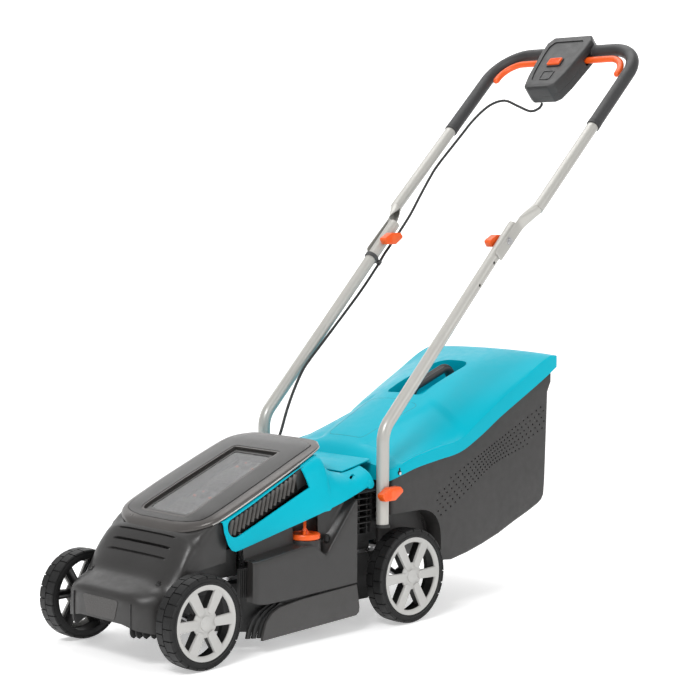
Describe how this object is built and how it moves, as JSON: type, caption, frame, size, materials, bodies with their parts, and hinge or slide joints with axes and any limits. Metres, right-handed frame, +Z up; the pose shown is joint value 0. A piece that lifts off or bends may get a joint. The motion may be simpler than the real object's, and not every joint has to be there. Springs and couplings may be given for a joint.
{
  "type": "lawn mower",
  "caption": "Cordless rotary lawn mower with ribbed side vents, a clear battery flap, a folding tube handle with a start bar, and a hinged-lid grass box at the rear.",
  "frame": {"origin": "on the ground, under the middle of the overall length and width", "axes": "+Z up; front towards -Y, handle towards +Y; +X is the mower's left side"},
  "size_m": [0.4326, 1.3874, 1.2093],
  "materials": {
    "dark_plastic": "moulded warm grey plastic, fine grain",
    "hood_plastic": "satin grey-brown plastic with a slight metallic sheen",
    "black_plastic": "moulded black plastic",
    "cyan_plastic": "moulded turquoise plastic, fine grain",
    "orange_plastic": "moulded orange plastic, satin",
    "grey_paint": "light warm grey powder coat on steel tube",
    "rim_plastic": "light grey moulded plastic",
    "tyre_rubber": "black block tread",
    "grip_plastic": "soft dark grey sleeve",
    "box_plastic": "dark grey moulded plastic",
    "smoked_window": "clear smoked plastic",
    "bright_steel": "bright zinc-plated steel",
    "cast_alloy": "plain cast motor housing",
    "circuit_board": "green board"
  },
  "bodies": {
    "deck": {"chassis": "black_plastic", "front_cowl": "dark_plastic", "hood": "hood_plastic", "top_cover": "cyan_plastic", "vent_grille_left": "black_plastic", "vent_grille_right": "black_plastic", "deck_side_left": "dark_plastic", "deck_side_right": "dark_plastic", "grass_comb_left": "dark_plastic", "grass_comb_right": "dark_plastic", "handle_bracket_left": "black_plastic", "handle_bracket_right": "black_plastic", "battery_bay": "black_plastic", "battery_front": "dark_plastic", "battery_rear": "dark_plastic", "motor": "cast_alloy", "control_board": "circuit_board", "front_axle_clamp": "black_plastic", "rear_axle_clamp": "black_plastic", "lower_bolt_left": "bright_steel", "lower_bolt_right": "bright_steel", "lower_tube_left": "grey_paint", "lower_tube_right": "grey_paint", "upper_bolt_left": "bright_steel", "upper_bolt_right": "bright_steel", "cable_clip": "box_plastic", "cable_gland": "black_plastic", "cable_upper": "black_plastic", "cable_lower": "black_plastic"},
    "front_axle": {"front_axle": "bright_steel"},
    "rear_axle": {"rear_axle": "bright_steel"},
    "height_link": {"height_link": "bright_steel"},
    "height_knob": {"height_knob": "orange_plastic"},
    "wheel_front_left": {"tyre_front_left": "tyre_rubber", "rim_front_left": "rim_plastic"},
    "wheel_front_right": {"tyre_front_right": "tyre_rubber", "rim_front_right": "rim_plastic"},
    "wheel_rear_left": {"tyre_rear_left": "tyre_rubber", "rim_rear_left": "rim_plastic"},
    "wheel_rear_right": {"tyre_rear_right": "tyre_rubber", "rim_rear_right": "rim_plastic"},
    "blade": {"rotor_shaft": "bright_steel", "blade": "bright_steel", "blade_bolt": "bright_steel"},
    "battery_flap": {"battery_flap": "smoked_window"},
    "rear_flap": {"rear_flap": "cyan_plastic"},
    "grass_box": {"box_tub": "dark_plastic", "box_lid": "cyan_plastic", "box_handle": "box_plastic"},
    "upper_handle": {"upper_tube": "grey_paint", "grip_left": "grip_plastic", "grip_right": "grip_plastic", "control_box_upper": "box_plastic", "control_box_lower": "box_plastic"},
    "lower_knob_left": {"lower_knob_left": "orange_plastic"},
    "lower_knob_right": {"lower_knob_right": "orange_plastic"},
    "upper_knob_left": {"upper_knob_left": "orange_plastic"},
    "upper_knob_right": {"upper_knob_right": "orange_plastic"},
    "start_bail": {"start_bail": "orange_plastic"},
    "start_button": {"start_button": "orange_plastic"}
  },
  "joints": [
    {"name": "front_axle_swing", "type": "hinge", "parent": "deck", "child": "front_axle", "pos_m": [0, -0.63574, 0.1029], "axis": [1, 0, 0], "range_deg": [-30, 40]},
    {"name": "rear_axle_swing", "type": "hinge", "parent": "deck", "child": "rear_axle", "pos_m": [0, -0.10034, 0.1114], "axis": [1, 0, 0], "range_deg": [-30, 40]},
    {"name": "height_link_turn", "type": "hinge", "parent": "front_axle", "child": "height_link", "pos_m": [0.1312, -0.63574, 0.1399], "axis": [1, 0, 0], "range_deg": [-40, 30]},
    {"name": "height_knob_turn", "type": "hinge", "parent": "deck", "child": "height_knob", "pos_m": [0.1412, -0.32004, 0.199], "axis": [0, 0, 1], "range_deg": [-90, 120]},
    {"name": "wheel_front_left_spin", "type": "hinge", "parent": "front_axle", "child": "wheel_front_left", "pos_m": [0.1695, -0.60574, 0.0849], "axis": [1, 0, 0], "continuous": true},
    {"name": "wheel_front_right_spin", "type": "hinge", "parent": "front_axle", "child": "wheel_front_right", "pos_m": [-0.1695, -0.60574, 0.0849], "axis": [1, 0, 0], "continuous": true},
    {"name": "wheel_rear_left_spin", "type": "hinge", "parent": "rear_axle", "child": "wheel_rear_left", "pos_m": [0.1695, -0.07034, 0.0934], "axis": [1, 0, 0], "continuous": true},
    {"name": "wheel_rear_right_spin", "type": "hinge", "parent": "rear_axle", "child": "wheel_rear_right", "pos_m": [-0.1695, -0.07034, 0.0934], "axis": [1, 0, 0], "continuous": true},
    {"name": "blade_spin", "type": "hinge", "parent": "deck", "child": "blade", "pos_m": [0, -0.35074, 0.045], "axis": [0, 0, 1], "continuous": true},
    {"name": "battery_flap_open", "type": "hinge", "parent": "deck", "child": "battery_flap", "pos_m": [0, -0.3156, 0.3418], "axis": [-1, 0, 0], "range_deg": [0, 100]},
    {"name": "rear_flap_open", "type": "hinge", "parent": "deck", "child": "rear_flap", "pos_m": [0, -0.20724, 0.3085], "axis": [1, 0, 0], "range_deg": [0, 60]},
    {"name": "grass_box_slide", "type": "slide", "parent": "deck", "child": "grass_box", "axis": [0, 1, 0], "range_m": [0, 0.3]},
    {"name": "upper_handle_fold", "type": "hinge", "parent": "deck", "child": "upper_handle", "pos_m": [0, 0.22014, 0.74817], "axis": [1, 0, 0], "range_deg": [0, 140]},
    {"name": "lower_knob_left_turn", "type": "hinge", "parent": "deck", "child": "lower_knob_left", "pos_m": [0.1896, -0.13704, 0.264], "axis": [1, 0, 0], "continuous": true},
    {"name": "lower_knob_right_turn", "type": "hinge", "parent": "deck", "child": "lower_knob_right", "pos_m": [-0.1896, -0.13704, 0.264], "axis": [1, 0, 0], "continuous": true},
    {"name": "upper_knob_left_turn", "type": "hinge", "parent": "deck", "child": "upper_knob_left", "pos_m": [0.148, 0.22014, 0.74817], "axis": [1, 0, 0], "continuous": true},
    {"name": "upper_knob_right_turn", "type": "hinge", "parent": "deck", "child": "upper_knob_right", "pos_m": [-0.148, 0.22014, 0.74817], "axis": [1, 0, 0], "continuous": true},
    {"name": "start_bail_squeeze", "type": "slide", "parent": "upper_handle", "child": "start_bail", "axis": [0, 0.7218, 0.6921], "range_m": [0, 0.006], "stiffness_N_per_m": 400, "springref_m": -0.004},
    {"name": "start_button_press", "type": "slide", "parent": "upper_handle", "child": "start_button", "axis": [0, 0.6921, -0.7218], "range_m": [0, 0.004], "stiffness_N_per_m": 400, "springref_m": -0.002}
  ],
  "couplings": [
    {"joint": "rear_axle_swing", "follows": "front_axle_swing", "ratio": 1},
    {"joint": "height_link_turn", "follows": "front_axle_swing", "ratio": -1},
    {"joint": "height_knob_turn", "follows": "front_axle_swing", "ratio": 3}
  ]
}
